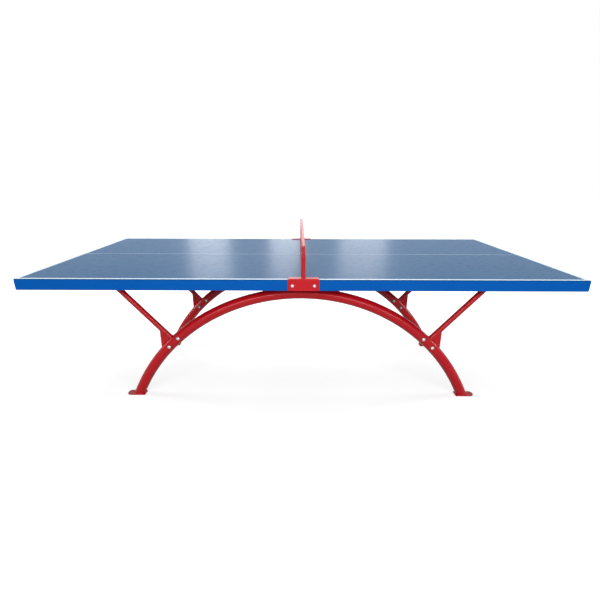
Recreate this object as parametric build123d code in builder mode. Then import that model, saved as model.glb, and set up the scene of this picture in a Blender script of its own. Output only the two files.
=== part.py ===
"""Outdoor table tennis table on two arched tube frames, with a lift-off steel net.

Millimetres. X runs along the table, Y across it, Z up. The origin is on the floor under the
middle of the table, so the net stands in the plane X = 0 and the frames stand at Y = +-arch_y.
"""

import os
from math import acos, cos, degrees, radians, sin, sqrt

from build123d import *

# Playing top: two half decks, each on its own welded frame of rectangular tube
table_length = 2740.0
table_width = 1525.0
table_height = 760.0
deck_thickness = 4.0
deck_corner_radius = 3.0
deck_edge_radius = 1.5
seam_gap = 1.0
rail_height = 50.0
rail_width = 25.0
rail_wall = 1.5
rail_corner_radius = 3.0
bearer_width = 40.0
bearer_wall = 2.0
bearer_corner_radius = 3.0
inner_bearer_x = 185.0

# Arched frames: one bent tube each, an arc of a circle whose middle lies under the floor
arch_y = 435.0
arch_radius = 1080.0
arch_tube_radius = 30.0
arch_tube_wall = 3.0

# Feet: flat plates welded across the cut tube ends, each with one ground anchor hole
foot_thickness = 6.0
foot_width = 60.0
foot_inner_lip = 4.0
foot_outer_lip = 38.0
foot_outer_corner = 22.0
foot_inner_corner = 6.0
anchor_hole_radius = 6.0
anchor_edge_distance = 20.0

# Braces: straight tubes that stand square on the arch, with a gusset plate bolted into it
brace_angle = 42.4
brace_radius = 16.0
brace_wall = 2.0
gusset_thickness = 6.0
gusset_reach = 82.0
gusset_into_brace = 8.0
tongue_half_length = 55.0
tongue_depth = 18.0
arch_bolt_offset = 38.0
slot_clearance = 0.25
brace_plate_length = 112.0
brace_plate_width = 50.0
brace_bolt_offset = 40.0
plate_corner_radius = 6.0

# Crown brackets: an upright web cut to the arch, under a flange that carries both half tops
crown_length = 420.0
crown_web_height = 53.0
crown_web_thickness = 6.0
flange_width = 60.0
flange_thickness = 6.0
crown_bolt_offset = 18.0

# Net: folded corner brackets with socket tubes, and a hoop with a punched sheet on its side
net_height = 152.5
net_x = 9.0
bracket_length = 151.0
bracket_drop = 53.0
bracket_reach = 40.0
bracket_thickness = 4.0
bracket_corner_radius = 10.0
bracket_bend_radius = 5.0
bracket_bolt_offset = 52.5
bracket_bolt_drop = 29.0
socket_radius = 9.0
socket_wall = 1.4
socket_height = 104.0
socket_clearance = 0.3
hoop_wall = 1.5
hoop_bend_radius = 30.0
lock_screw_drop = 8.0
sheet_thickness = 1.5
sheet_floor_gap = 5.0
sheet_side_gap = 3.0
sheet_top_margin = 3.0
punch_size = 24.0
punch_pitch_y = 32.0
punch_pitch_z = 31.0
punch_rows = 4
rivet_margin = 8.0
rivet_count = 7
rivet_radius = 2.0
rivet_head_radius = 4.0
rivet_head_height = 1.6
ear_rivet_drop = 12.0

# Fasteners
bolt_radius = 5.0
bolt_hole_clearance = 0.5
small_bolt_radius = 4.0
nut_bore_clearance = 0.1
hex_ratio = 0.95
head_height_ratio = 0.64
nut_height_ratio = 0.8
dome_head_ratio = 1.9
dome_height_ratio = 1.1
thread_past_nut = 2.0
saddle_washer_radius = 11.0
saddle_washer_proud = 2.0
saddle_gap = 0.05
seam_bolt_count = 4
lock_screw_radius = 3.0

# Places that follow from the sizes above
half_length = table_length / 2
half_width = table_width / 2
half_seam = seam_gap / 2
deck_underside = table_height - deck_thickness
rail_underside = deck_underside - rail_height
rail_mid_height = deck_underside - rail_height / 2
flange_underside = rail_underside - flange_thickness
arch_crown_height = flange_underside - crown_web_height - arch_tube_radius
arch_centre_z = arch_crown_height - arch_radius
arch_outer_radius = arch_radius + arch_tube_radius
bolt_angle = degrees(arch_bolt_offset / arch_radius)
tongue_angle = degrees(tongue_half_length / arch_radius)
hoop_radius = socket_radius - socket_wall - socket_clearance
socket_y = half_width - bracket_reach / 2
bracket_top = table_height + bracket_thickness
socket_top = bracket_top + socket_height
hoop_rail_z = table_height + net_height - hoop_radius
sheet_face_x = net_x - hoop_radius
bolt_hole_radius = bolt_radius + bolt_hole_clearance
small_hole_radius = small_bolt_radius + bolt_hole_clearance

SIDES = (("left", -1), ("right", 1))
FRAMES = (("front", -1), ("rear", 1))

os.makedirs("parts", exist_ok=True)


def save(part, name):
    """Labels a finished piece and writes it as its own file."""
    part.label = name
    export_step(part, f"parts/{name}.step")


def upright_plane(y):
    """The plane of an arch: local x is X and local y is Z, seen from the front."""
    return Plane(origin=(0, y, 0), x_dir=(1, 0, 0), z_dir=(0, -1, 0))


def on_arch(radius, angle, side):
    """A point at a distance from the arch's centre, at an angle from its crown."""
    return (
        side * radius * sin(radians(angle)),
        arch_centre_z + radius * cos(radians(angle)),
    )


def on_brace(radius, offset, side):
    """A point along a brace's axis from the arch's centre, moved square to it towards the net."""
    turn = radians(brace_angle)
    return (
        side * (radius * sin(turn) - offset * cos(turn)),
        arch_centre_z + radius * cos(turn) + offset * sin(turn),
    )


def arch_arc(radius, start, end, side):
    """An arc about the arch's centre between two angles from the crown."""
    middle = (start + end) / 2
    return ThreePointArc(
        on_arch(radius, start, side), on_arch(radius, middle, side), on_arch(radius, end, side)
    )


def arch_section(y, angle, side):
    """The plane square across the arch tube at an angle from the crown."""
    x, z = on_arch(arch_radius, angle, side)
    along = (cos(radians(angle)), 0, -side * sin(radians(angle)))
    return Plane(origin=(x, y, z), x_dir=(0, 1, 0), z_dir=along)


def arch_axis(y):
    """The axis that the arch tube is bent about."""
    return Axis((0, y, arch_centre_z), (0, 1, 0))


def arch_bolt_places(side):
    """The two bolts of one gusset, on the tube's own centre line."""
    return [
        on_arch(arch_radius, brace_angle + step * bolt_angle, side) for step in (-1, 1)
    ]


# Half decks: composite boards with a softened top edge and rounded outer corners
for side_name, side in SIDES:
    with BuildPart() as deck:
        with BuildSketch(Plane.XY.offset(deck_underside)):
            with Locations((side * (half_seam + half_length) / 2, 0)):
                Rectangle(half_length - half_seam, table_width)
        extrude(amount=deck_thickness)
        end_face = deck.faces().sort_by(Axis.X)[-1 if side > 0 else 0]
        fillet(end_face.edges().filter_by(Axis.Z), deck_corner_radius)
        top_face = deck.faces().sort_by(Axis.Z)[-1]
        seam_side = top_face.edges().filter_by(Axis.Y).sort_by(Axis.X)[0 if side > 0 else -1]
        fillet([edge for edge in top_face.edges() if edge != seam_side], deck_edge_radius)
    save(deck.part, f"{side_name}_deck")


def rail_profile(width, height, wall, corner):
    """The hollow section of a rectangular tube, drawn about its middle."""
    RectangleRounded(width, height, corner)
    RectangleRounded(width - 2 * wall, height - 2 * wall, corner - wall, mode=Mode.SUBTRACT)


# Side rails: along the table, mitred at both ends, drilled for the net bracket bolts
for side_name, side in SIDES:
    near_x, far_x = side * half_seam, side * half_length
    bracket_bolt_x = net_x + side * bracket_bolt_offset
    for frame_name, front in FRAMES:
        outer_y = front * half_width
        middle_y = front * (half_width - rail_width / 2)
        start = Plane(origin=(near_x, middle_y, rail_mid_height), x_dir=(0, 1, 0), z_dir=(side, 0, 0))
        with BuildPart() as side_rail:
            with BuildSketch(start):
                rail_profile(rail_width, rail_height, rail_wall, rail_corner_radius)
            extrude(amount=half_length - half_seam)
            for corner_x, inward in ((near_x, side), (far_x, -side)):
                with BuildSketch(Plane.XY.offset(rail_underside)):
                    with BuildLine():
                        Polyline(
                            (corner_x, outer_y),
                            (corner_x + inward * rail_width, outer_y - front * rail_width),
                            (corner_x, outer_y - front * rail_width),
                            close=True,
                        )
                    make_face()
                extrude(amount=rail_height, mode=Mode.SUBTRACT)
            with BuildSketch(upright_plane(middle_y)):
                with Locations((bracket_bolt_x, table_height - bracket_bolt_drop)):
                    Circle(small_hole_radius)
            extrude(amount=rail_width, both=True, mode=Mode.SUBTRACT)
        save(side_rail.part, f"{side_name}_{frame_name}_rail")


# Cross rails: the outer end and the seam end of each half, mitred into the side rails
seam_bolt_pitch = table_width / seam_bolt_count
seam_bolt_ys = [
    (step - (seam_bolt_count - 1) / 2) * seam_bolt_pitch for step in range(seam_bolt_count)
]
for side_name, side in SIDES:
    for rail_name, corner_x, inward in (
        ("end", side * half_length, -side),
        ("seam", side * half_seam, side),
    ):
        middle_x = corner_x + inward * rail_width / 2
        start = Plane(
            origin=(middle_x, -half_width, rail_mid_height), x_dir=(1, 0, 0), z_dir=(0, 1, 0)
        )
        with BuildPart() as cross_rail:
            with BuildSketch(start):
                rail_profile(rail_width, rail_height, rail_wall, rail_corner_radius)
            extrude(amount=table_width)
            for front in (-1, 1):
                outer_y = front * half_width
                with BuildSketch(Plane.XY.offset(rail_underside)):
                    with BuildLine():
                        Polyline(
                            (corner_x, outer_y),
                            (corner_x + inward * rail_width, outer_y - front * rail_width),
                            (corner_x + inward * rail_width, outer_y),
                            close=True,
                        )
                    make_face()
                extrude(amount=rail_height, mode=Mode.SUBTRACT)
            if rail_name == "seam":
                with BuildSketch(Plane.YZ.offset(middle_x)):
                    with Locations(*[(y, rail_mid_height) for y in seam_bolt_ys]):
                        Circle(small_hole_radius)
                extrude(amount=rail_width, both=True, mode=Mode.SUBTRACT)
        save(cross_rail.part, f"{side_name}_{rail_name}_rail")


# Bearers: tubes across each half that carry the deck and take the bolts of the frames
brace_top_radius = (flange_underside - arch_centre_z) / cos(radians(brace_angle))
outer_bearer_x = brace_top_radius * sin(radians(brace_angle))
middle_bearer_x = (inner_bearer_x + outer_bearer_x) / 2
bearers = (
    ("inner", inner_bearer_x, (-crown_bolt_offset, crown_bolt_offset)),
    ("middle", middle_bearer_x, ()),
    ("outer", outer_bearer_x, (-brace_bolt_offset, brace_bolt_offset)),
)
bearer_bolt_places = [
    (side * bearer_x, front * arch_y + bolt_offset)
    for _, side in SIDES
    for _, bearer_x, bolt_offsets in bearers
    for _, front in FRAMES
    for bolt_offset in bolt_offsets
]
for side_name, side in SIDES:
    for bearer_name, bearer_x, bolt_offsets in bearers:
        start = Plane(
            origin=(side * bearer_x, rail_width - half_width, rail_mid_height),
            x_dir=(1, 0, 0),
            z_dir=(0, 1, 0),
        )
        with BuildPart() as bearer:
            with BuildSketch(start):
                rail_profile(bearer_width, rail_height, bearer_wall, bearer_corner_radius)
            extrude(amount=table_width - 2 * rail_width)
            if bolt_offsets:
                with BuildSketch(Plane.XY.offset(rail_underside)):
                    with Locations((side * bearer_x, -arch_y), (side * bearer_x, arch_y)):
                        with Locations(*[(0, offset) for offset in bolt_offsets]):
                            Circle(bolt_hole_radius)
                extrude(amount=rail_height / 2, mode=Mode.SUBTRACT)
        save(bearer.part, f"{side_name}_{bearer_name}_bearer")


# Arch tubes: bent round to the floor, cut level on the foot plates, slotted for the gussets
floor_angle = degrees(acos(-arch_centre_z / arch_radius))
sweep_angle = floor_angle + degrees(2 * arch_tube_radius / arch_radius)
slot_angle = tongue_angle + degrees(slot_clearance / arch_radius)
for frame_name, front in FRAMES:
    y = front * arch_y
    with BuildPart() as arch:
        with BuildSketch(arch_section(y, sweep_angle, -1)):
            Circle(arch_tube_radius)
            Circle(arch_tube_radius - arch_tube_wall, mode=Mode.SUBTRACT)
        revolve(axis=arch_axis(y), revolution_arc=2 * sweep_angle)
        split(bisect_by=Plane.XY.offset(foot_thickness), keep=Keep.TOP)
        with BuildSketch(upright_plane(y)):
            for _, side in SIDES:
                with Locations(*arch_bolt_places(side)):
                    Circle(bolt_hole_radius)
        extrude(amount=2 * arch_tube_radius, both=True, mode=Mode.SUBTRACT)
        for _, side in SIDES:
            with BuildSketch(upright_plane(y)):
                with BuildLine():
                    first, last = brace_angle - slot_angle, brace_angle + slot_angle
                    outside = arch_outer_radius + arch_tube_wall
                    arch_arc(arch_radius, first, last, side)
                    arch_arc(outside, first, last, side)
                    Line(on_arch(arch_radius, first, side), on_arch(outside, first, side))
                    Line(on_arch(arch_radius, last, side), on_arch(outside, last, side))
                make_face()
            extrude(amount=gusset_thickness / 2 + slot_clearance, both=True, mode=Mode.SUBTRACT)
    save(arch.part, f"{frame_name}_arch")


# Foot plates: set flat on the ground, rounded at the outer end round the anchor hole
foot_level = foot_thickness - arch_centre_z
inner_cut_x = sqrt((arch_radius - arch_tube_radius) ** 2 - foot_level**2)
outer_cut_x = sqrt(arch_outer_radius**2 - foot_level**2)
foot_inner_x = inner_cut_x - foot_inner_lip
foot_outer_x = outer_cut_x + foot_outer_lip
anchor_x = foot_outer_x - anchor_edge_distance
for side_name, side in SIDES:
    for frame_name, front in FRAMES:
        with BuildPart() as foot:
            with BuildSketch():
                with Locations((side * (foot_inner_x + foot_outer_x) / 2, front * arch_y)):
                    Rectangle(foot_outer_x - foot_inner_x, foot_width)
            extrude(amount=foot_thickness)
            ends = foot.edges().filter_by(Axis.Z).group_by(Axis.X)
            fillet(ends[0 if side > 0 else -1], foot_inner_corner)
            ends = foot.faces().filter_by(Axis.X).sort_by(Axis.X)
            fillet(ends[-1 if side > 0 else 0].edges().filter_by(Axis.Z), foot_outer_corner)
            with Locations((side * anchor_x, front * arch_y, foot_thickness)):
                Hole(anchor_hole_radius)
        save(foot.part, f"{frame_name}_{side_name}_foot")


# Gussets: plates with a tongue that goes through the arch's slot and takes its two bolts
gusset_turn = brace_angle + degrees(gusset_reach / arch_outer_radius)
gusset_outer_x = arch_outer_radius * sin(radians(gusset_turn))
gusset_top_radius = (gusset_outer_x - brace_radius * cos(radians(brace_angle))) / sin(
    radians(brace_angle)
)
tongue_inside = arch_radius - tongue_depth
tongue_flush = arch_outer_radius - 2 * slot_clearance
brace_bore_angle = brace_angle - degrees(gusset_into_brace / tongue_flush)
for side_name, side in SIDES:
    for frame_name, front in FRAMES:
        first, last = brace_angle - tongue_angle, brace_angle + tongue_angle
        with BuildPart() as gusset:
            with BuildSketch(upright_plane(front * arch_y)):
                with BuildLine():
                    arch_arc(tongue_inside, first, last, side)
                    Line(on_arch(tongue_inside, last, side), on_arch(arch_outer_radius, last, side))
                    arch_arc(arch_outer_radius, last, gusset_turn, side)
                    Polyline(
                        on_arch(arch_outer_radius, gusset_turn, side),
                        on_brace(gusset_top_radius, -brace_radius, side),
                        on_brace(gusset_top_radius, gusset_into_brace, side),
                        on_arch(tongue_flush, brace_bore_angle, side),
                    )
                    arch_arc(tongue_flush, brace_bore_angle, first, side)
                    Line(on_arch(tongue_flush, first, side), on_arch(tongue_inside, first, side))
                make_face()
                with Locations(*arch_bolt_places(side)):
                    Circle(bolt_hole_radius, mode=Mode.SUBTRACT)
            extrude(amount=gusset_thickness / 2, both=True)
        save(gusset.part, f"{frame_name}_{side_name}_gusset")


# Braces: coped onto the arch, slit for the gusset and cut level under their top plates
brace_foot_radius = arch_radius + arch_tube_radius / 3
for side_name, side in SIDES:
    for frame_name, front in FRAMES:
        y = front * arch_y
        foot_x, foot_z = on_brace(brace_foot_radius, 0, side)
        brace_direction = (side * sin(radians(brace_angle)), 0, cos(radians(brace_angle)))
        with BuildPart() as brace:
            with BuildSketch(Plane(origin=(foot_x, y, foot_z), x_dir=(0, 1, 0), z_dir=brace_direction)):
                Circle(brace_radius)
                Circle(brace_radius - brace_wall, mode=Mode.SUBTRACT)
            extrude(amount=brace_top_radius)
            split(bisect_by=Plane.XY.offset(flange_underside), keep=Keep.BOTTOM)
            with BuildSketch(arch_section(y, brace_angle - 2 * tongue_angle, side)):
                Circle(arch_tube_radius)
            revolve(axis=arch_axis(y), revolution_arc=side * 4 * tongue_angle, mode=Mode.SUBTRACT)
            with BuildSketch(upright_plane(y)):
                with BuildLine():
                    Polyline(
                        on_brace(brace_foot_radius, -2 * brace_radius, side),
                        on_brace(gusset_top_radius + slot_clearance, -2 * brace_radius, side),
                        on_brace(gusset_top_radius + slot_clearance, -brace_radius / 2, side),
                        on_brace(brace_foot_radius, -brace_radius / 2, side),
                        close=True,
                    )
                make_face()
            extrude(amount=gusset_thickness / 2 + slot_clearance, both=True, mode=Mode.SUBTRACT)
        save(brace.part, f"{frame_name}_{side_name}_brace")


# Brace plates: welded across the tops of the braces and bolted up to the outer bearers
for side_name, side in SIDES:
    for frame_name, front in FRAMES:
        with BuildPart() as brace_plate:
            with BuildSketch(Plane.XY.offset(flange_underside)):
                with Locations((side * outer_bearer_x, front * arch_y)):
                    RectangleRounded(brace_plate_width, brace_plate_length, plate_corner_radius)
                    with Locations((0, -brace_bolt_offset), (0, brace_bolt_offset)):
                        Circle(bolt_hole_radius, mode=Mode.SUBTRACT)
            extrude(amount=flange_thickness)
        save(brace_plate.part, f"{frame_name}_{side_name}_brace_plate")


# Crown brackets: a web that stands on the top of the arch and the flange welded over it
crown_end_z = arch_centre_z + sqrt(arch_outer_radius**2 - (crown_length / 2) ** 2)
for frame_name, front in FRAMES:
    with BuildPart() as crown_web:
        with BuildSketch(upright_plane(front * arch_y)):
            with BuildLine():
                ThreePointArc(
                    (-crown_length / 2, crown_end_z),
                    (0, arch_crown_height + arch_tube_radius),
                    (crown_length / 2, crown_end_z),
                )
                Polyline(
                    (crown_length / 2, crown_end_z),
                    (crown_length / 2, flange_underside),
                    (-crown_length / 2, flange_underside),
                    (-crown_length / 2, crown_end_z),
                )
            make_face()
        extrude(amount=crown_web_thickness / 2, both=True)
    save(crown_web.part, f"{frame_name}_crown_web")

    with BuildPart() as crown_flange:
        with BuildSketch(Plane.XY.offset(flange_underside)):
            with Locations((0, front * arch_y)):
                RectangleRounded(crown_length, flange_width, plate_corner_radius)
                for bolt_x in (-inner_bearer_x, inner_bearer_x):
                    with Locations((bolt_x, -crown_bolt_offset), (bolt_x, crown_bolt_offset)):
                        Circle(bolt_hole_radius, mode=Mode.SUBTRACT)
        extrude(amount=flange_thickness)
    save(crown_flange.part, f"{frame_name}_crown_flange")


# Net brackets: sheet folded over the table's edge, with both front corners rounded off
for frame_name, front in FRAMES:
    edge_y = front * half_width
    face_y = front * (half_width + bracket_thickness)
    inner_y = front * (half_width - bracket_reach)
    drop_z = table_height - bracket_drop
    with BuildPart() as net_bracket:
        with BuildSketch(Plane.YZ.offset(net_x)):
            with BuildLine():
                Polyline(
                    (face_y, drop_z),
                    (face_y, bracket_top),
                    (inner_y, bracket_top),
                    (inner_y, table_height),
                    (edge_y, table_height),
                    (edge_y, drop_z),
                    close=True,
                )
            make_face()
        extrude(amount=bracket_length / 2, both=True)
        outer_bend = net_bracket.edges().filter_by(Axis.X).group_by(Axis.Z)[-1]
        fillet(outer_bend.sort_by(Axis.Y)[0 if front < 0 else -1], bracket_bend_radius)
        with BuildSketch(upright_plane(edge_y)):
            with Locations((net_x, (drop_z + bracket_top) / 2)):
                RectangleRounded(bracket_length, bracket_top - drop_z, bracket_corner_radius)
            with Locations((net_x, drop_z + bracket_corner_radius)):
                Rectangle(bracket_length, 2 * bracket_corner_radius)
        extrude(amount=table_width, both=True, mode=Mode.INTERSECT)
        with BuildSketch(upright_plane(edge_y)):
            for step in (-1, 1):
                bolt_x = net_x + step * bracket_bolt_offset
                with Locations((bolt_x, table_height - bracket_bolt_drop)):
                    Circle(small_hole_radius)
        extrude(amount=2 * bracket_thickness, both=True, mode=Mode.SUBTRACT)
    save(net_bracket.part, f"{frame_name}_net_bracket")


# Net sockets: upright tubes welded to the brackets, with a tapped hole for the lock screw
lock_screw_z = socket_top - lock_screw_drop
for frame_name, front in FRAMES:
    with BuildPart() as socket:
        with BuildSketch(Plane.XY.offset(bracket_top)):
            with Locations((net_x, front * socket_y)):
                Circle(socket_radius)
                Circle(socket_radius - socket_wall, mode=Mode.SUBTRACT)
        extrude(amount=socket_height)
        with BuildSketch(upright_plane(front * socket_y)):
            with Locations((net_x, lock_screw_z)):
                Circle(lock_screw_radius)
        extrude(amount=-front * 2 * socket_radius, mode=Mode.SUBTRACT)
    save(socket.part, f"{frame_name}_net_socket")

    with BuildPart() as lock_screw:
        outside = Plane(
            origin=(net_x, front * (socket_y + socket_radius), lock_screw_z),
            x_dir=(1, 0, 0),
            z_dir=(0, front, 0),
        )
        with BuildSketch(outside):
            Circle(dome_head_ratio * lock_screw_radius)
        extrude(amount=dome_height_ratio * lock_screw_radius)
        head_rim = lock_screw.edges().filter_by(GeomType.CIRCLE).sort_by(Axis.Y)
        chamfer(head_rim[0 if front < 0 else -1], lock_screw_radius / 2)
        with BuildSketch(outside):
            Circle(lock_screw_radius - nut_bore_clearance)
        extrude(amount=-socket_wall)
    save(lock_screw.part, f"{frame_name}_net_lock_screw")


# Net hoop: one bent tube whose two legs stand on the brackets inside the sockets
with BuildPart() as net_hoop:
    with BuildLine(Plane.YZ.offset(net_x)):
        FilletPolyline(
            (-socket_y, bracket_top),
            (-socket_y, hoop_rail_z),
            (socket_y, hoop_rail_z),
            (socket_y, bracket_top),
            radius=hoop_bend_radius,
        )
    with BuildSketch(Plane.XY.offset(bracket_top)):
        with Locations((net_x, -socket_y)):
            Circle(hoop_radius)
            Circle(hoop_radius - hoop_wall, mode=Mode.SUBTRACT)
    sweep()
    rivet_pitch = 2 * (socket_y - hoop_bend_radius - rivet_margin) / (rivet_count - 1)
    rivet_ys = [(step - (rivet_count - 1) / 2) * rivet_pitch for step in range(rivet_count)]
    ear_rivet_z = socket_top + ear_rivet_drop
    rivet_places = [(y, hoop_rail_z) for y in rivet_ys]
    rivet_places += [(front * socket_y, ear_rivet_z) for _, front in FRAMES]
    with BuildSketch(Plane.YZ.offset(net_x)):
        with Locations(*rivet_places):
            Circle(rivet_radius)
    extrude(amount=-2 * hoop_radius, mode=Mode.SUBTRACT)
save(net_hoop.part, "net_hoop")


# Net sheet: punched steel hung on the side of the hoop, with ears above the sockets
sheet_bottom = table_height + sheet_floor_gap
sheet_top = hoop_rail_z + sheet_top_margin
sheet_half_length = socket_y - socket_radius - sheet_side_gap
ear_bottom = socket_top + sheet_side_gap
ear_top = hoop_rail_z - hoop_bend_radius + hoop_radius
ear_end = socket_y + rivet_head_radius
punch_middle_z = (sheet_bottom + hoop_rail_z - hoop_radius) / 2
punch_columns = int((2 * sheet_half_length - punch_size / 2) // punch_pitch_y)
with BuildPart() as net_sheet:
    with BuildSketch(Plane.YZ.offset(sheet_face_x)):
        with Locations((0, (sheet_bottom + sheet_top) / 2)):
            Rectangle(2 * sheet_half_length, sheet_top - sheet_bottom)
        with Locations((0, (ear_bottom + ear_top) / 2)):
            Rectangle(2 * ear_end, ear_top - ear_bottom)
        with Locations((0, punch_middle_z)):
            with GridLocations(punch_pitch_y, punch_pitch_z, punch_columns, punch_rows):
                Rectangle(punch_size, punch_size, mode=Mode.SUBTRACT)
        with Locations(*rivet_places):
            Circle(rivet_radius, mode=Mode.SUBTRACT)
    extrude(amount=-sheet_thickness)
save(net_sheet.part, "net_sheet")


# Net rivets: dome heads on the sheet, each shank through the hoop's near wall
with BuildPart() as net_rivets:
    for y, z in rivet_places:
        head_plane = Plane(
            origin=(sheet_face_x - sheet_thickness, y, z), x_dir=(0, 1, 0), z_dir=(-1, 0, 0)
        )
        with BuildSketch(head_plane):
            Circle(rivet_head_radius)
        extrude(amount=rivet_head_height, taper=30)
        with BuildSketch(head_plane):
            Circle(rivet_radius)
        extrude(amount=-sheet_thickness - hoop_wall)
save(net_rivets.part, "net_rivets")


def hexagon(radius):
    """Draws the outline of a hexagon head or nut for a bolt of this radius."""
    RegularPolygon(hex_ratio * 2 * radius, 6, major_radius=False)


def bolt_group(planes, radius, grip, domed):
    """Bolts that start on the planes under their heads and run back through the grip and a nut."""
    nut_height = nut_height_ratio * 2 * radius
    head_radius = dome_head_ratio * radius
    dome_height = dome_height_ratio * radius
    rim_height = dome_height / 4
    rise = dome_height - rim_height
    ball_radius = (head_radius**2 + rise**2) / (2 * rise)
    shoulder_z = dome_height - ball_radius + sqrt(ball_radius**2 - head_radius**2 / 4)
    shoulder = (head_radius / 2, shoulder_z)
    with BuildPart() as bolts:
        for plane in planes:
            if domed:
                with BuildSketch(Plane(plane.origin, x_dir=plane.x_dir, z_dir=-plane.y_dir)):
                    with BuildLine():
                        Polyline((0, dome_height), (0, 0), (head_radius, 0), (head_radius, rim_height))
                        ThreePointArc((head_radius, rim_height), shoulder, (0, dome_height))
                    make_face()
                revolve(axis=Axis(plane.origin, plane.z_dir))
            else:
                with BuildSketch(plane):
                    hexagon(radius)
                extrude(amount=head_height_ratio * 2 * radius)
            with BuildSketch(plane):
                Circle(radius)
            extrude(amount=-(grip + nut_height + thread_past_nut))
    return bolts.part


def nut_group(planes, radius):
    """Hexagon nuts that stand on the planes and point along them."""
    with BuildPart() as nuts:
        for plane in planes:
            with BuildSketch(plane):
                hexagon(radius)
                Circle(radius + nut_bore_clearance, mode=Mode.SUBTRACT)
            extrude(amount=nut_height_ratio * 2 * radius)
    return nuts.part


# Bearer bolts: hexagon bolts from below, into nuts welded inside the bearers
up, down = (0, 0, 1), (0, 0, -1)
head_planes = [Plane((x, y, flange_underside), z_dir=down) for x, y in bearer_bolt_places]
weld_planes = [
    Plane((x, y, rail_underside + bearer_wall), z_dir=up) for x, y in bearer_bolt_places
]
save(bolt_group(head_planes, bolt_radius, flange_thickness + bearer_wall, False), "bearer_bolts")
save(nut_group(weld_planes, bolt_radius), "bearer_weld_nuts")


# Arch bolts: dome heads on the outer faces of the frames, nuts on the inner faces
saddle_reach = arch_tube_radius + saddle_washer_proud
head_planes, nut_planes = [], []
for _, front in FRAMES:
    for _, side in SIDES:
        for x, z in arch_bolt_places(side):
            head_y, nut_y = front * (arch_y + saddle_reach), front * (arch_y - saddle_reach)
            head_planes.append(Plane((x, head_y, z), x_dir=(1, 0, 0), z_dir=(0, front, 0)))
            nut_planes.append(Plane((x, nut_y, z), x_dir=(1, 0, 0), z_dir=(0, -front, 0)))
save(bolt_group(head_planes, bolt_radius, 2 * saddle_reach, True), "arch_bolts")
save(nut_group(nut_planes, bolt_radius), "arch_nuts")


# Saddle washers: flat outside for the heads and nuts, hollowed inside to the round of the tube
with BuildPart() as saddle_washers:
    for plane in head_planes + nut_planes:
        with BuildSketch(plane):
            Circle(saddle_washer_radius)
            Circle(bolt_hole_radius, mode=Mode.SUBTRACT)
        extrude(amount=-saddle_washer_radius / 2)
    for _, front in FRAMES:
        for _, side in SIDES:
            for angle in (brace_angle - bolt_angle, brace_angle + bolt_angle):
                with BuildSketch(arch_section(front * arch_y, angle, side)):
                    Circle(arch_tube_radius + saddle_gap)
                extrude(amount=2 * saddle_washer_radius, both=True, mode=Mode.SUBTRACT)
save(saddle_washers.part, "arch_saddle_washers")


# Seam bolts: pull the two half frames together below the net
seam_face = half_seam + rail_width
head_planes = [Plane((-seam_face, y, rail_mid_height), z_dir=(-1, 0, 0)) for y in seam_bolt_ys]
nut_planes = [Plane((seam_face, y, rail_mid_height), z_dir=(1, 0, 0)) for y in seam_bolt_ys]
save(bolt_group(head_planes, small_bolt_radius, 2 * seam_face, False), "seam_bolts")
save(nut_group(nut_planes, small_bolt_radius), "seam_nuts")


# Net bracket bolts: one through each half's side rail, so the brackets tie the halves too
head_planes, nut_planes = [], []
for _, front in FRAMES:
    for step in (-1, 1):
        x = net_x + step * bracket_bolt_offset
        z = table_height - bracket_bolt_drop
        head_y, nut_y = front * (half_width + bracket_thickness), front * (half_width - rail_width)
        head_planes.append(Plane((x, head_y, z), x_dir=(1, 0, 0), z_dir=(0, front, 0)))
        nut_planes.append(Plane((x, nut_y, z), x_dir=(1, 0, 0), z_dir=(0, -front, 0)))
bracket_grip = bracket_thickness + rail_width
save(bolt_group(head_planes, small_bolt_radius, bracket_grip, True), "net_bracket_bolts")
save(nut_group(nut_planes, small_bolt_radius), "net_bracket_nuts")
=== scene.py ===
"""Outdoor table tennis table: red arched frames, a blue top in two halves and a lift-off steel net."""

import math

import bmesh
import bpy
from mathutils import Matrix, Vector


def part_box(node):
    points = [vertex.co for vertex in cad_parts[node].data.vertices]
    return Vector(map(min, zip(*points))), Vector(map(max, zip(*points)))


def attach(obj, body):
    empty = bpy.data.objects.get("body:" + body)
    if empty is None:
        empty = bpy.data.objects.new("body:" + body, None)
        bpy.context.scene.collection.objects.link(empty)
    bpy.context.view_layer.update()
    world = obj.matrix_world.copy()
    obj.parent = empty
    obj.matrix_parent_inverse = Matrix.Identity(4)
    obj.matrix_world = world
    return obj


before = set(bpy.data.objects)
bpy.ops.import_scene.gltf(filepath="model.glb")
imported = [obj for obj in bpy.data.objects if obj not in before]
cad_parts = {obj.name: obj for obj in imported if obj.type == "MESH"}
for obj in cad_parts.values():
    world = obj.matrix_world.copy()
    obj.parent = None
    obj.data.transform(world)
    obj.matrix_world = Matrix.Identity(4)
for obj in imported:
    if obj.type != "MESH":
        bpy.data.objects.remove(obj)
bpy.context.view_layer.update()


# Arched frames: bent steel tubes with welded feet, braces and crown brackets, and gussets bolted in.
# The steel is welded, blasted and then powder coated red, so that one finish covers tubes, plates
# and welds: a thick gloss skin with a faint orange peel, thinner and paler on sharp edges.

MM = 0.001
FRONT_REAR = ("front", "rear")
SIDE_WAYS = {"left": -1, "right": 1}
RED_COAT = "#C4141F"
RED_COAT_DEEP = "#B60F1A"
RED_EDGE = "#D8505A"
GLOSS_ROUGHNESS = 0.2
# Paint has an index near 1.5: a lower one mirrors less of the white room and keeps colours deep
GLOSS_IOR = 1.28


def linear(code):
    """Turns an sRGB hex colour into the linear RGBA that the shaders use."""
    shares = [int(code[place:place + 2], 16) / 255 for place in (1, 3, 5)]
    return [s / 12.92 if s <= 0.04045 else ((s + 0.055) / 1.055) ** 2.4 for s in shares] + [1.0]


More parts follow.
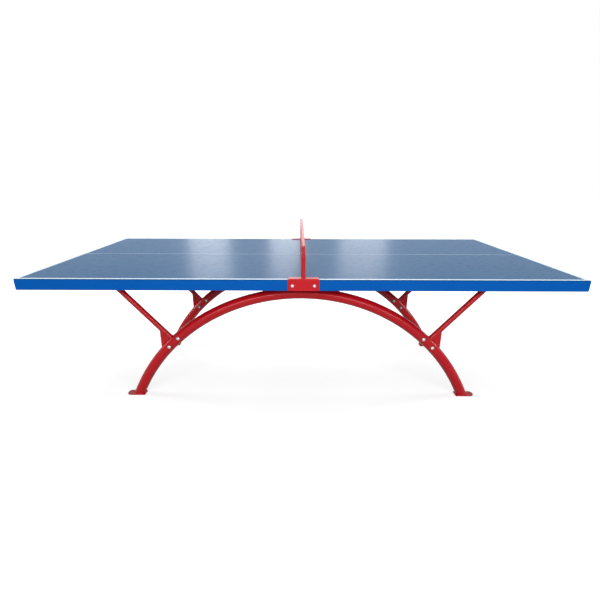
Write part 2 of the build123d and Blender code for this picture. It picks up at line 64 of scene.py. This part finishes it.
def add(owner, kind, inputs=None, **settings):
    """Adds a shader node to a material or a world. An input is a value, or a socket to link from."""
    tree = owner.node_tree
    node = tree.nodes.new(kind)
    for name, value in settings.items():
        setattr(node, name, value)
    for socket, value in (inputs or {}).items():
        if isinstance(value, bpy.types.NodeSocket):
            tree.links.new(value, node.inputs[socket])
        else:
            node.inputs[socket].default_value = value
    return node


def new_material(name):
    """An empty node material with its output and the object's own coordinates."""
    material = bpy.data.materials.new(name)
    material.use_nodes = True
    material.node_tree.nodes.clear()
    output = add(material, "ShaderNodeOutputMaterial")
    place = add(material, "ShaderNodeTexCoord").outputs["Object"]
    return material, output, place


def powder_coat(name, colour, deep_colour, edge_colour, roughness, ior):
    """Powder coat on steel: slow drift of colour, orange peel, and paler worn edges."""
    material, output, place = new_material(name)
    drift_size = 180 * MM
    dust_size = 45 * MM
    # Real orange peel is about 2 mm across, drawn at 5 mm so that it shows in the render
    peel_size = 5 * MM
    peel_height = 0.4 * MM
    edge_radius = 1.5 * MM
    # Cosines of the turn between an edge's rounded face and its flat one
    wear_start, wear_full = 0.97, 0.75
    most_wear = 0.55
    least_dust, most_dust = 0.3, 0.75
    clean_polish, dusty_haze = 0.03, 0.06
    drift = add(material, "ShaderNodeTexNoise", {"Vector": place, "Scale": 1 / drift_size, "Detail": 3.0})
    peel = add(material, "ShaderNodeTexNoise", {"Vector": place, "Scale": 1 / peel_size, "Detail": 1.0})
    dust = add(material, "ShaderNodeTexNoise", {"Vector": place, "Scale": 1 / dust_size, "Detail": 5.0})
    body = add(
        material, "ShaderNodeMix",
        {"Factor": drift.outputs["Fac"], "A": linear(colour), "B": linear(deep_colour)},
        data_type="RGBA",
    )
    soft_edge = add(material, "ShaderNodeBevel", {"Radius": edge_radius}, samples=4)
    true_face = add(material, "ShaderNodeNewGeometry")
    facing = add(
        material, "ShaderNodeVectorMath",
        {0: soft_edge.outputs["Normal"], 1: true_face.outputs["Normal"]}, operation="DOT_PRODUCT",
    )
    wear = add(
        material, "ShaderNodeMapRange",
        {"Value": facing.outputs["Value"], "From Min": wear_start, "From Max": wear_full,
         "To Max": most_wear},
    )
    painted = add(
        material, "ShaderNodeMix",
        {"Factor": wear.outputs["Result"], "A": body.outputs["Result"], "B": linear(edge_colour)},
        data_type="RGBA",
    )
    sheen = add(
        material, "ShaderNodeMapRange",
        {"Value": dust.outputs["Fac"], "From Min": least_dust, "From Max": most_dust,
         "To Min": roughness - clean_polish, "To Max": roughness + dusty_haze},
    )
    bump = add(
        material, "ShaderNodeBump",
        {"Height": peel.outputs["Fac"], "Strength": 0.015, "Distance": peel_height},
    )
    shader = add(
        material, "ShaderNodeBsdfPrincipled",
        {"Base Color": painted.outputs["Result"], "Roughness": sheen.outputs["Result"],
         "IOR": ior, "Normal": bump.outputs["Normal"]},
    )
    material.node_tree.links.new(shader.outputs["BSDF"], output.inputs["Surface"])
    return material


def finish_node(material, *names):
    """Gives carried-over solids their finished material."""
    for name in names:
        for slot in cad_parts[name].material_slots:
            slot.material = material


red_coat = powder_coat(
    "red_powder_coated_steel", RED_COAT, RED_COAT_DEEP, RED_EDGE, GLOSS_ROUGHNESS, GLOSS_IOR
)
for end in FRONT_REAR:
    finish_node(red_coat, f"{end}_arch", f"{end}_crown_web", f"{end}_crown_flange")
    for side in SIDE_WAYS:
        for piece in ("foot", "brace", "gusset", "brace_plate"):
            finish_node(red_coat, f"{end}_{side}_{piece}")


# Welds: a rippled bead of steel where two frame pieces meet, laid by hand in short strokes.
# They were made before the coating, so the same red skin runs over them.

scene = bpy.context.scene
ACROSS = Vector((0, 1, 0))
UP = Vector((0, 0, 1))
BEAD_RADIUS = 3.0 * MM
BEAD_SIDES = 10
STROKE = 4.0 * MM
STEPS_PER_STROKE = 4
SWELL = 0.14
MERGE_WITHIN = 0.1 * MM


def finished_piece(mesh, name, material, body, smooth=True):
    """Turns a bmesh into a piece that rides on a body."""
    bmesh.ops.recalc_face_normals(mesh, faces=mesh.faces)
    data = bpy.data.meshes.new(name)
    mesh.to_mesh(data)
    mesh.free()
    for face in data.polygons:
        face.use_smooth = smooth
    data.materials.append(material)
    piece = bpy.data.objects.new(name, data)
    scene.collection.objects.link(piece)
    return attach(piece, body)


def lay_bead(piece, length, section_at, closed=False):
    """Lays a rippled bead along a path. section_at places the bead's section at a share of it."""
    bead = bmesh.new()
    strokes = round(length / STROKE)
    steps = STEPS_PER_STROKE * strokes
    upright = Matrix.Rotation(math.pi / 2, 4, "Y")
    bmesh.ops.create_circle(bead, segments=BEAD_SIDES, radius=BEAD_RADIUS, matrix=upright)
    bmesh.ops.spin(
        bead, geom=bead.verts[:] + bead.edges[:], cent=(0, 0, 0), axis=(1, 0, 0), angle=0,
        dvec=(length / steps, 0, 0), steps=steps,
    )
    for vertex in bead.verts:
        share = vertex.co.x / length
        swell = 1 + SWELL * math.sin(math.tau * strokes * share)
        vertex.co = section_at(share) @ Vector((0, vertex.co.y * swell, vertex.co.z * swell))
    if closed:
        bmesh.ops.remove_doubles(bead, verts=bead.verts, dist=MERGE_WITHIN)
    else:
        bmesh.ops.holes_fill(bead, edges=[edge for edge in bead.edges if edge.is_boundary])
    laid = bpy.data.meshes.new("bead")
    bead.to_mesh(laid)
    bead.free()
    piece.from_mesh(laid)
    bpy.data.meshes.remove(laid)


def section(centre, across, up):
    """The place of a bead's section: its middle and its two directions."""
    turned = Matrix((across.cross(up), across, up)).transposed().to_4x4()
    return Matrix.Translation(centre) @ turned


def ring_weld(piece, radius, place, lift):
    """A closed bead round a tube's end. lift gives the height of the joint at each angle."""

    def section_at(share):
        """The bead's section at a share of the way round."""
        turn = math.tau * share
        outward = Vector((math.cos(turn), math.sin(turn), 0))
        centre = outward * radius + Vector((0, 0, lift(turn)))
        return place @ section(centre, outward, UP)

    lay_bead(piece, math.tau * radius, section_at, closed=True)


def flat(turn):
    """The height of a joint on a flat plate, the same at every angle."""
    return 0.0


def arch_shape(end):
    """The arch's plane, the middle of its arc, and its tube and centre-line radii, from the solid."""
    low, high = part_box(f"{end}_arch")
    tube = (high.y - low.y) / 2
    half_span, rise = high.x, high.z - low.z
    # The tube's outer line is cut level on the foot plates, so its radius follows from the span
    outer = (half_span ** 2 + rise ** 2) / (2 * rise)
    return (low.y + high.y) / 2, high.z - outer, tube, outer - tube


def weld_foot(welds, end, side):
    """Lays the bead round the arch's slanting end, where it stands on its foot plate."""
    plane_y, middle_z, tube, radius = arch_shape(end)
    foot_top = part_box(f"{end}_{side}_foot")[1].z
    drop = foot_top - middle_z
    inner_x = math.sqrt((radius - tube) ** 2 - drop ** 2)
    outer_x = math.sqrt((radius + tube) ** 2 - drop ** 2)
    stretch = (outer_x - inner_x) / (2 * tube)
    place = Matrix.Translation((SIDE_WAYS[side] * (inner_x + outer_x) / 2, plane_y, foot_top))
    ring_weld(welds, tube, place @ Matrix.Diagonal((stretch, 1, 1, 1)), flat)


def weld_brace(welds, end, side):
    """Lays the beads at both ends of a brace: on the arch's round, and under its top plate."""
    plane_y, middle_z, tube, radius = arch_shape(end)
    plate_low, plate_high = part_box(f"{end}_{side}_brace_plate")
    brace_low, brace_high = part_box(f"{end}_{side}_brace")
    brace_tube = (brace_high.y - brace_low.y) / 2
    head = Vector(((plate_low.x + plate_high.x) / 2, plane_y, plate_low.z))
    root = Vector((0, plane_y, middle_z))
    along = (head - root).normalized()
    brace_turn = Matrix((ACROSS, along.cross(ACROSS), along)).transposed().to_4x4()

    def saddle(turn):
        """The height of the arch tube's round under the brace's end."""
        return math.sqrt(tube ** 2 - (brace_tube * math.cos(turn)) ** 2) - tube

    brace_foot = Matrix.Translation(root + along * (radius + tube)) @ brace_turn
    ring_weld(welds, brace_tube, brace_foot, saddle)
    slant = Matrix.Diagonal((1 / along.z, 1, 1, 1))
    ring_weld(welds, brace_tube, Matrix.Translation(head) @ slant, flat)


def weld_crown_face(welds, end, face_y, web_corner):
    """Lays the beads on one face of the crown web: along the arch, and under the flange."""
    middle_z, tube, radius = arch_shape(end)[1:]
    crown_turn = math.asin(web_corner.x / (radius + tube))

    def on_arch(share):
        """The bead's section between the web and the arch."""
        turn = (2 * share - 1) * crown_turn
        outward = Vector((math.sin(turn), 0, math.cos(turn)))
        centre = Vector((0, face_y, middle_z)) + outward * (radius + tube)
        return section(centre, ACROSS, outward)

    def under_flange(share):
        """The bead's section between the web and the flange."""
        centre = Vector(((2 * share - 1) * web_corner.x, face_y, web_corner.z))
        return section(centre, ACROSS, UP)

    lay_bead(welds, 2 * crown_turn * (radius + tube), on_arch)
    lay_bead(welds, 2 * web_corner.x, under_flange)


for end in FRONT_REAR:
    welds = bmesh.new()
    for side in SIDE_WAYS:
        weld_foot(welds, end, side)
        weld_brace(welds, end, side)
    web_low, web_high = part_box(f"{end}_crown_web")
    for face_y in (web_low.y, web_high.y):
        weld_crown_face(welds, end, face_y, web_high)
    frame_welds = finished_piece(welds, f"{end}_frame_welds", red_coat, "table")


# Rails and bearers: rectangular steel tube, mitred and welded into one frame for each half.
# Powder coated blue in a satin finish, the deep blue edge that is seen all round the table.

BLUE_COAT = "#065DB6"
BLUE_COAT_DEEP = "#0556AC"
BLUE_EDGE = "#4F86C8"
BLUE_ROUGHNESS = 0.45
BLUE_IOR = 1.12
blue_coat = powder_coat(
    "blue_powder_coated_steel", BLUE_COAT, BLUE_COAT_DEEP, BLUE_EDGE, BLUE_ROUGHNESS, BLUE_IOR
)
for side in SIDE_WAYS:
    for place in ("front", "rear", "end", "seam"):
        finish_node(blue_coat, f"{side}_{place}_rail")
    for place in ("inner", "middle", "outer"):
        finish_node(blue_coat, f"{side}_{place}_bearer")


# Half decks: glass fibre board, glued down on each half's frame of rails.
# A rolled polyurethane coat runs over the board's rounded edge: deep blue from above, and pale
# where it mirrors the light at a low angle.

DECK_BLUE = "#0A5280"
DECK_BLUE_WORN = "#0F5684"
DECK_ROUGHNESS = 0.3
BALL_MARK_ROUGHNESS = 0.36
DECK_IOR = 1.115


def deck_coat(name):
    """Satin paint with a fine stipple and faint ball marks."""
    material, output, place = new_material(name)
    cloud_size = 260 * MM
    mark_size = 38 * MM
    # The roller's stipple is about 1 mm across, drawn at 4 mm so that it shows in the render
    stipple_size = 4 * MM
    stipple_height = 0.3 * MM
    least_worn, most_worn = 0.35, 0.7
    mark_middle, mark_rim = 0.05, 0.45
    stipple = add(
        material, "ShaderNodeTexNoise", {"Vector": place, "Scale": 1 / stipple_size, "Detail": 2.0}
    )
    cloud = add(material, "ShaderNodeTexNoise", {"Vector": place, "Scale": 1 / cloud_size, "Detail": 4.0})
    marks = add(
        material, "ShaderNodeTexVoronoi", {"Vector": place, "Scale": 1 / mark_size, "Randomness": 1.0}
    )
    worn = add(
        material, "ShaderNodeMapRange",
        {"Value": cloud.outputs["Fac"], "From Min": least_worn, "From Max": most_worn},
    )
    top = add(
        material, "ShaderNodeMix",
        {"Factor": worn.outputs["Result"], "A": linear(DECK_BLUE), "B": linear(DECK_BLUE_WORN)},
        data_type="RGBA",
    )
    sheen = add(
        material, "ShaderNodeMapRange",
        {"Value": marks.outputs["Distance"], "From Min": mark_middle, "From Max": mark_rim,
         "To Min": BALL_MARK_ROUGHNESS, "To Max": DECK_ROUGHNESS},
    )
    bump = add(
        material, "ShaderNodeBump",
        {"Height": stipple.outputs["Fac"], "Strength": 0.05, "Distance": stipple_height},
    )
    shader = add(
        material, "ShaderNodeBsdfPrincipled",
        {"Base Color": top.outputs["Result"], "Roughness": sheen.outputs["Result"],
         "IOR": DECK_IOR, "Normal": bump.outputs["Normal"]},
    )
    material.node_tree.links.new(shader.outputs["BSDF"], output.inputs["Surface"])
    return material


finish_node(deck_coat("rolled_blue_deck_paint"), "left_deck", "right_deck")


# Court lines: white road-marking paint masked off along the ends, the sides and the middle.
# The film stands a little proud of the deck, and the side lines stop at the net brackets.

LINE_WHITE = "#D9EAF7"
LINE_THIN = "#AFC4D8"
LINE_ROUGHNESS = 0.5
LINE_IOR = 1.5
LINE_WIDTH = 20 * MM
CENTRE_LINE = 3 * MM
EDGE_SET_BACK = 1.6 * MM
FILM = 0.25 * MM
CUT_WITHIN = 0.01 * MM
half_length, half_width, deck_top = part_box("right_deck")[1]
bracket_low, bracket_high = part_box("front_net_bracket")


def line_paint(name):
    """White paint, a little thin in places, with the roller's grain."""
    material, output, place = new_material(name)
    grain_size, grain_height = 3 * MM, 0.2 * MM
    thin_size = 60 * MM
    thin_start, thin_full = 0.55, 0.8
    thinnest = 0.25
    grain = add(material, "ShaderNodeTexNoise", {"Vector": place, "Scale": 1 / grain_size, "Detail": 2.0})
    thin = add(material, "ShaderNodeTexNoise", {"Vector": place, "Scale": 1 / thin_size, "Detail": 5.0})
    patch = add(
        material, "ShaderNodeMapRange",
        {"Value": thin.outputs["Fac"], "From Min": thin_start, "From Max": thin_full, "To Max": thinnest},
    )
    colour = add(
        material, "ShaderNodeMix",
        {"Factor": patch.outputs["Result"], "A": linear(LINE_WHITE), "B": linear(LINE_THIN)},
        data_type="RGBA",
    )
    bump = add(
        material, "ShaderNodeBump",
        {"Height": grain.outputs["Fac"], "Strength": 0.1, "Distance": grain_height},
    )
    shader = add(
        material, "ShaderNodeBsdfPrincipled",
        {"Base Color": colour.outputs["Result"], "Roughness": LINE_ROUGHNESS, "IOR": LINE_IOR,
         "Normal": bump.outputs["Normal"]},
    )
    material.node_tree.links.new(shader.outputs["BSDF"], output.inputs["Surface"])
    return material


def line_film(side):
    """One half's film: a sheet over the deck, cut along the lines, cleared between them and raised."""
    way = SIDE_WAYS[side]
    half_low, half_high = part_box(f"{side}_deck")
    seam_x = half_low.x if way > 0 else half_high.x
    bracket_x = bracket_high.x if way > 0 else bracket_low.x
    end_x = way * (half_length - EDGE_SET_BACK)
    side_y = half_width - EDGE_SET_BACK
    film = bmesh.new()
    middle = Matrix.Translation(((seam_x + end_x) / 2, 0, deck_top))
    size = Matrix.Diagonal((abs(end_x - seam_x), 2 * side_y, 1, 1))
    # The grid's size is half its width, so it starts as a square of 1 m
    bmesh.ops.create_grid(film, x_segments=1, y_segments=1, size=0.5, matrix=middle @ size)
    inner_x = way * (half_length - LINE_WIDTH)
    inner_y = half_width - LINE_WIDTH
    cuts = [((x, 0, 0), (1, 0, 0)) for x in (inner_x, bracket_x)]
    cuts += [((0, y, 0), (0, 1, 0)) for y in (-inner_y, inner_y, -CENTRE_LINE / 2, CENTRE_LINE / 2)]
    for point, normal in cuts:
        geometry = film.verts[:] + film.edges[:] + film.faces[:]
        bmesh.ops.bisect_plane(film, geom=geometry, plane_co=point, plane_no=normal, dist=CUT_WITHIN)
    bare = []
    for face in film.faces:
        spot = face.calc_center_median()
        at_end = way * spot.x > way * inner_x
        at_side = abs(spot.y) > inner_y and way * spot.x > way * bracket_x
        at_centre = abs(spot.y) < CENTRE_LINE / 2
        if not (at_end or at_side or at_centre):
            bare.append(face)
    bmesh.ops.delete(film, geom=bare, context="FACES")
    raised = bmesh.ops.extrude_face_region(film, geom=film.faces[:])
    lifted = [item for item in raised["geom"] if isinstance(item, bmesh.types.BMVert)]
    bmesh.ops.translate(film, verts=lifted, vec=(0, 0, FILM))
    return film


white_line = line_paint("white_line_paint")
for side in SIDE_WAYS:
    finished_piece(line_film(side), f"{side}_court_lines", white_line, "table", smooth=False)


# Net: folded steel brackets bolted to the side rails, with welded socket tubes and a lock screw each.
# The net itself is a bent tube hoop with a punched sheet riveted to it, and stands in the sockets.
# All this steel has a satin coat in the frames' red, which covers the sheet's punched edges too.

SATIN_ROUGHNESS = 0.32
SATIN_IOR = 1.3
net_coat = powder_coat(
    "red_satin_coated_steel", RED_COAT, RED_COAT_DEEP, RED_EDGE, SATIN_ROUGHNESS, SATIN_IOR
)
for end in FRONT_REAR:
    finish_node(net_coat, f"{end}_net_bracket", f"{end}_net_socket", f"{end}_net_lock_screw")
finish_node(net_coat, "net_hoop", "net_sheet")
welds = bmesh.new()
for end in FRONT_REAR:
    low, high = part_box(f"{end}_net_socket")
    base = Matrix.Translation(((low.x + high.x) / 2, (low.y + high.y) / 2, low.z))
    ring_weld(welds, (high.x - low.x) / 2, base, flat)
socket_welds = finished_piece(welds, "socket_welds", net_coat, "table")


# Fasteners: pressed steel bolts, nuts, washers and rivets, zinc plated and passivated.
# Plating gives a pale grey metal with soft cloudy patches. Nuts and washers sit on the inner sides and
# under the table, and get a rougher copy in a darker grey. That darker colour is painted shade.

ZINC = "#C4C0BE"
ZINC_CLOUDED = "#A3A09E"
ZINC_ROUGHNESS = 0.28
ZINC_CLOUDED_ROUGHNESS = 0.45
# Darker grey for nuts and washers: painted shade for their place inside the frames and under the table
SHADE_PAINTED_ZINC = "#6A6662"
SHADE_PAINTED_ZINC_CLOUDED = "#524F4C"
DULL_ZINC_ROUGHNESS = 0.4
DULL_ZINC_CLOUDED_ROUGHNESS = 0.6


def zinc_plate(name, colour, clouded_colour, roughness, clouded_roughness):
    """Zinc on steel with cloudy passivation, rougher where it has clouded."""
    material, output, place = new_material(name)
    cloud_size = 6 * MM
    grain_size, grain_height = 1.5 * MM, 0.1 * MM
    least_cloud, most_cloud = 0.3, 0.7
    cloud = add(material, "ShaderNodeTexNoise", {"Vector": place, "Scale": 1 / cloud_size, "Detail": 3.0})
    grain = add(material, "ShaderNodeTexNoise", {"Vector": place, "Scale": 1 / grain_size, "Detail": 2.0})
    plate = add(
        material, "ShaderNodeMix",
        {"Factor": cloud.outputs["Fac"], "A": linear(colour), "B": linear(clouded_colour)},
        data_type="RGBA",
    )
    sheen = add(
        material, "ShaderNodeMapRange",
        {"Value": cloud.outputs["Fac"], "From Min": least_cloud, "From Max": most_cloud,
         "To Min": roughness, "To Max": clouded_roughness},
    )
    bump = add(
        material, "ShaderNodeBump",
        {"Height": grain.outputs["Fac"], "Strength": 0.08, "Distance": grain_height},
    )
    shader = add(
        material, "ShaderNodeBsdfPrincipled",
        {"Base Color": plate.outputs["Result"], "Metallic": 1.0,
         "Roughness": sheen.outputs["Result"], "Normal": bump.outputs["Normal"]},
    )
    material.node_tree.links.new(shader.outputs["BSDF"], output.inputs["Surface"])
    return material


bright_zinc = zinc_plate(
    "bright_zinc_plated_steel", ZINC, ZINC_CLOUDED, ZINC_ROUGHNESS, ZINC_CLOUDED_ROUGHNESS
)
# The shaded copy of the plating: its darker colour is painted shade, and its higher roughness is the
# duller zinc
shade_painted_zinc = zinc_plate(
    "shade_painted_zinc_plated_steel", SHADE_PAINTED_ZINC, SHADE_PAINTED_ZINC_CLOUDED,
    DULL_ZINC_ROUGHNESS, DULL_ZINC_CLOUDED_ROUGHNESS,
)
finish_node(bright_zinc, "arch_bolts", "bearer_bolts", "seam_bolts", "net_bracket_bolts", "net_rivets")
finish_node(
    shade_painted_zinc, "arch_nuts", "arch_saddle_washers", "bearer_weld_nuts", "seam_nuts", "net_bracket_nuts"
)


# Studio floor: one wide pale sheet, just under the feet, that keeps the table's shadow.
# It shows white from above, and it is clear from beneath, so that the underside can be seen.

FLOOR_SIZE = 30.0
FLOOR_DROP = 0.3 * MM
FLOOR_GREY = "#7C7C7C"
FLOOR_PALE = "#C8C8C8"
WHITE = "#FFFFFF"
SHADOW_REACH, WHITE_REACH = 1.3, 3.5
SHADOW_GLOW, WHITE_GLOW = 0.7, 1.0


def shown_rays(owner):
    """The rays that show a white background: those of the camera, of reflections and of glass."""
    rays = add(owner, "ShaderNodeLightPath")
    seen = add(
        owner, "ShaderNodeMath",
        {0: rays.outputs["Is Camera Ray"], 1: rays.outputs["Is Glossy Ray"]}, operation="MAXIMUM",
    )
    shown = add(
        owner, "ShaderNodeMath",
        {0: seen.outputs["Value"], 1: rays.outputs["Is Transmission Ray"]}, operation="MAXIMUM",
    )
    return shown.outputs["Value"]


def studio_floor(name):
    """White to the camera and to reflections, with part of its white taken away by shadow."""
    material, output, place = new_material(name)
    plain = add(material, "ShaderNodeBsdfDiffuse", {"Color": linear(FLOOR_GREY)})
    shaded = add(material, "ShaderNodeBsdfDiffuse", {"Color": linear(FLOOR_PALE)})
    reach = add(material, "ShaderNodeVectorMath", {0: place}, operation="LENGTH")
    lift = add(
        material, "ShaderNodeMapRange",
        {"Value": reach.outputs["Value"], "From Min": SHADOW_REACH, "From Max": WHITE_REACH,
         "To Min": SHADOW_GLOW, "To Max": WHITE_GLOW},
    )
    glow = add(
        material, "ShaderNodeEmission", {"Color": linear(WHITE), "Strength": lift.outputs["Result"]}
    )
    white = add(material, "ShaderNodeAddShader", {0: shaded.outputs["BSDF"], 1: glow.outputs["Emission"]})
    above = add(
        material, "ShaderNodeMixShader",
        {"Fac": shown_rays(material), 1: plain.outputs["BSDF"], 2: white.outputs["Shader"]},
    )
    side = add(material, "ShaderNodeNewGeometry")
    clear = add(material, "ShaderNodeBsdfTransparent")
    sheet_sides = add(
        material, "ShaderNodeMixShader",
        {"Fac": side.outputs["Backfacing"], 1: above.outputs["Shader"], 2: clear.outputs["BSDF"]},
    )
    material.node_tree.links.new(sheet_sides.outputs["Shader"], output.inputs["Surface"])
    return material


sheet = bmesh.new()
level = Matrix.Translation((0, 0, -FLOOR_DROP))
bmesh.ops.create_grid(sheet, x_segments=2, y_segments=2, size=FLOOR_SIZE / 2, matrix=level)
floor_data = bpy.data.meshes.new("studio_floor")
sheet.to_mesh(floor_data)
sheet.free()
floor_data.materials.append(studio_floor("white_studio_floor"))
floor = bpy.data.objects.new("studio_floor", floor_data)
scene.collection.objects.link(floor)


# Studio light: a dim white room, with soft boxes in front, above, behind and at both ends.
# The three low boxes in front draw the streaks on the tubes, and the strips behind the table
# draw the bands on the top.

ROOM_FILL, ROOM_SHOWN = 0.11, 1.0
room = bpy.data.worlds.new("white_room")
scene.world = room
room.use_nodes = True
room.node_tree.nodes.clear()
strength = add(
    room, "ShaderNodeMapRange", {"Value": shown_rays(room), "To Min": ROOM_FILL, "To Max": ROOM_SHOWN}
)
light = add(
    room, "ShaderNodeBackground", {"Color": linear(WHITE), "Strength": strength.outputs["Result"]}
)
add(room, "ShaderNodeOutputWorld", {"Surface": light.outputs["Background"]})


def soft_box(name, place, target, width, height, power):
    """A rectangular soft box that faces a point."""
    lamp = bpy.data.lights.new(name, "AREA")
    lamp.shape = "RECTANGLE"
    lamp.size, lamp.size_y, lamp.energy = width, height, power
    box = bpy.data.objects.new(name, lamp)
    box.location = place
    box.rotation_euler = (Vector(target) - Vector(place)).to_track_quat("-Z", "Y").to_euler()
    scene.collection.objects.link(box)


soft_box("front_soft_box", (-0.6, -4.2, 4.2), (0, 0, 0.5), width=4.0, height=1.6, power=8)
soft_box("left_soft_box", (-1.75, -4.6, 1.75), (-0.4, -0.4, 0.5), width=2.4, height=0.4, power=66)
soft_box("right_soft_box", (2.2, -4.6, 1.75), (0.4, -0.4, 0.5), width=2.6, height=0.4, power=76)
soft_box("camera_soft_box", (0.1, -3.6, 1.6), (0, -0.4, 0.5), width=1.6, height=0.3, power=26)
soft_box("top_soft_box", (0.0, 0.6, 4.6), (0, 0, 0.7), width=4.5, height=2.5, power=96)
soft_box("rear_soft_box", (0.0, 4.6, 4.2), (0, 0.4, 0.5), width=4.0, height=1.2, power=130)
soft_box("left_end_box", (-5.5, 0.6, 2.6), (-1, 0, 0.5), width=1.6, height=1.6, power=80)
soft_box("right_end_box", (5.5, 0.6, 2.6), (1, 0, 0.5), width=1.6, height=1.6, power=80)
soft_box("left_strip", (-1.71, 6.0, 1.8), (-0.6, 0, 0.9), width=0.75, height=1.6, power=9.0)
soft_box("middle_strip", (-0.24, 6.0, 1.6), (-0.1, 0, 0.9), width=0.6, height=1.2, power=6.6)
soft_box("right_strip", (1.23, 6.0, 1.8), (0.4, 0, 0.9), width=0.9, height=1.6, power=8.4)


# Camera: a short lens 1.2 m above the floor and 2.9 m from the table's middle, tipped down by 24 degrees.
# The picture is shifted up again, as in a cropped photograph, which brings the table to its middle.

CAMERA_PLACE = (-0.0187, -2.8966, 1.2088)
SENSOR_MM, LENS_MM = 36.0, 27.026
# Shifts are shares of the picture's width, and turns are in radians
SHIFT_RIGHT, SHIFT_UP = 0.0076, 0.1276
TURN_LEFT, TIP_DOWN, ROLL = 0.0044, 0.4191, 0.0023
camera_data = bpy.data.cameras.new("camera")
camera_data.sensor_width = SENSOR_MM
camera_data.lens = LENS_MM
camera_data.shift_x = SHIFT_RIGHT
camera_data.shift_y = SHIFT_UP
camera = bpy.data.objects.new("camera", camera_data)
camera.location = CAMERA_PLACE
aim = Matrix.Rotation(TURN_LEFT, 4, "Z") @ Matrix.Rotation(math.pi / 2 - TIP_DOWN, 4, "X")
camera.rotation_euler = (aim @ Matrix.Rotation(ROLL, 4, "Z")).to_euler()
scene.collection.objects.link(camera)
scene.camera = camera
scene.view_settings.view_transform = "Standard"
